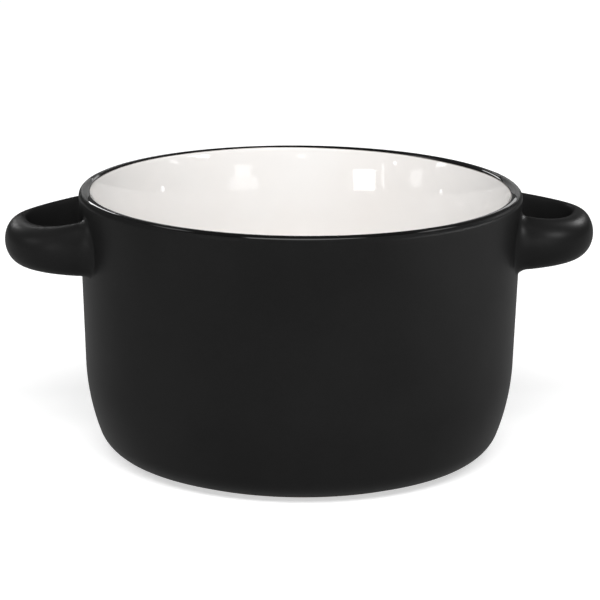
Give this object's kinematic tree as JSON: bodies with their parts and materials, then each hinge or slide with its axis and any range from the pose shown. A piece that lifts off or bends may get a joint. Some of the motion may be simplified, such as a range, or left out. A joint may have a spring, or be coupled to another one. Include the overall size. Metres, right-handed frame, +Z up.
{
  "type": "soup crock",
  "caption": "Round stoneware soup crock with loop handles below the rim, matte black outside and gloss white inside, for baked onion soup.",
  "frame": {"origin": "middle of the foot ring, on the surface the crock stands on", "axes": "+Z up through the mouth, +X through the right-hand handle, -Y towards the viewer"},
  "size_m": [0.1624, 0.122, 0.0745],
  "materials": {
    "bare_clay": "fired stoneware, unglazed, fine grained",
    "luting_slip": "fired slip of the same clay",
    "matte_black_glaze": "matte black glaze",
    "gloss_white_glaze": "gloss white glaze",
    "gloss_black_glaze": "gloss black glaze"
  },
  "bodies": {
    "root": {"stoneware_body": "bare_clay", "left_handle": "bare_clay", "right_handle": "bare_clay", "left_handle_slip": "luting_slip", "right_handle_slip": "luting_slip", "matte_coat": "matte_black_glaze", "white_liner": "gloss_white_glaze", "rim_band": "gloss_black_glaze", "base_glaze": "matte_black_glaze"}
  },
  "joints": []
}
